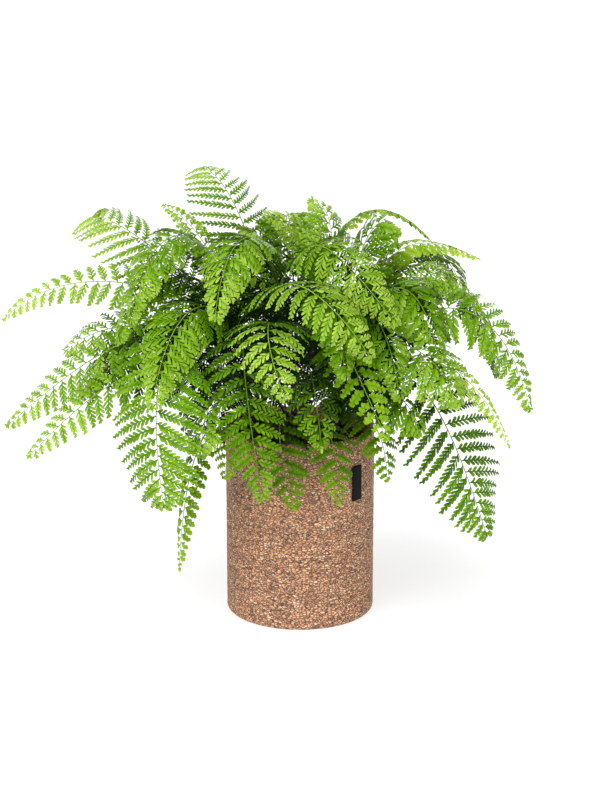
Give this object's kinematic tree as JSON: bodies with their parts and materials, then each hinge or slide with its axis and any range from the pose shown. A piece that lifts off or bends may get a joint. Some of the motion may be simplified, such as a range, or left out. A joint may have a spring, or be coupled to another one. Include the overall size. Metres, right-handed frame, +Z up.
{
  "type": "potted fern",
  "caption": "Fern with arching, finely cut fronds that hang over the rim of a straight round stone-chip planter, with soil, scaly crowns and a plain black plate",
  "frame": {"origin": "centre of the planter's foot, on the surface it stands on", "axes": "+Z up, -Y the front, +X to the right seen from the front"},
  "size_m": [0.692, 0.5552, 0.5728],
  "materials": {
    "planter": "rough stone chips in two browns, matt",
    "plate": "smooth black, a little sheen",
    "soil": "dark crumbly potting soil, matt",
    "crown": "near-black scaly rhizome and stalk, a little sheen",
    "frond_fine": "fresh green leaf, satin",
    "frond_broad": "deeper green leaf, satin",
    "frond_young": "light yellow-green young leaf, satin"
  },
  "bodies": {
    "root": {"crown_back": "crown", "crown_front": "crown", "crown_left": "crown", "crown_middle": "crown", "crown_right": "crown", "frond_01": "frond_fine", "frond_02": "frond_fine", "frond_03": "frond_broad", "frond_04": "frond_fine", "frond_05": "frond_fine", "frond_06": "frond_fine", "frond_07": "frond_fine", "frond_08": "frond_fine", "frond_09": "frond_fine", "frond_10": "frond_young", "frond_11": "frond_fine", "frond_12": "frond_broad", "frond_13": "frond_broad", "frond_14": "frond_broad", "frond_15": "frond_fine", "frond_16": "frond_fine", "frond_17": "frond_fine", "frond_18": "frond_fine", "frond_19": "frond_fine", "frond_20": "frond_young", "frond_21": "frond_young", "frond_22": "frond_fine", "frond_23": "frond_fine", "frond_24": "frond_young", "frond_25": "frond_fine", "frond_26": "frond_fine", "frond_27": "frond_fine", "frond_28": "frond_fine", "frond_29": "frond_young", "frond_30": "frond_fine", "frond_31": "frond_fine", "frond_32": "frond_fine", "frond_33": "frond_fine", "frond_34": "frond_fine", "frond_35": "frond_fine", "frond_36": "frond_fine", "frond_37": "frond_fine", "frond_38": "frond_fine", "frond_39": "frond_fine", "frond_40": "frond_fine", "frond_41": "frond_fine", "frond_42": "frond_broad", "frond_43": "frond_fine", "frond_44": "frond_fine", "frond_45": "frond_fine", "frond_46": "frond_fine", "frond_47": "frond_fine", "frond_48": "frond_fine", "frond_49": "frond_fine", "frond_50": "frond_fine", "frond_51": "frond_fine", "frond_52": "frond_fine", "planter": "planter", "plate": "plate", "soil": "soil"}
  },
  "joints": []
}
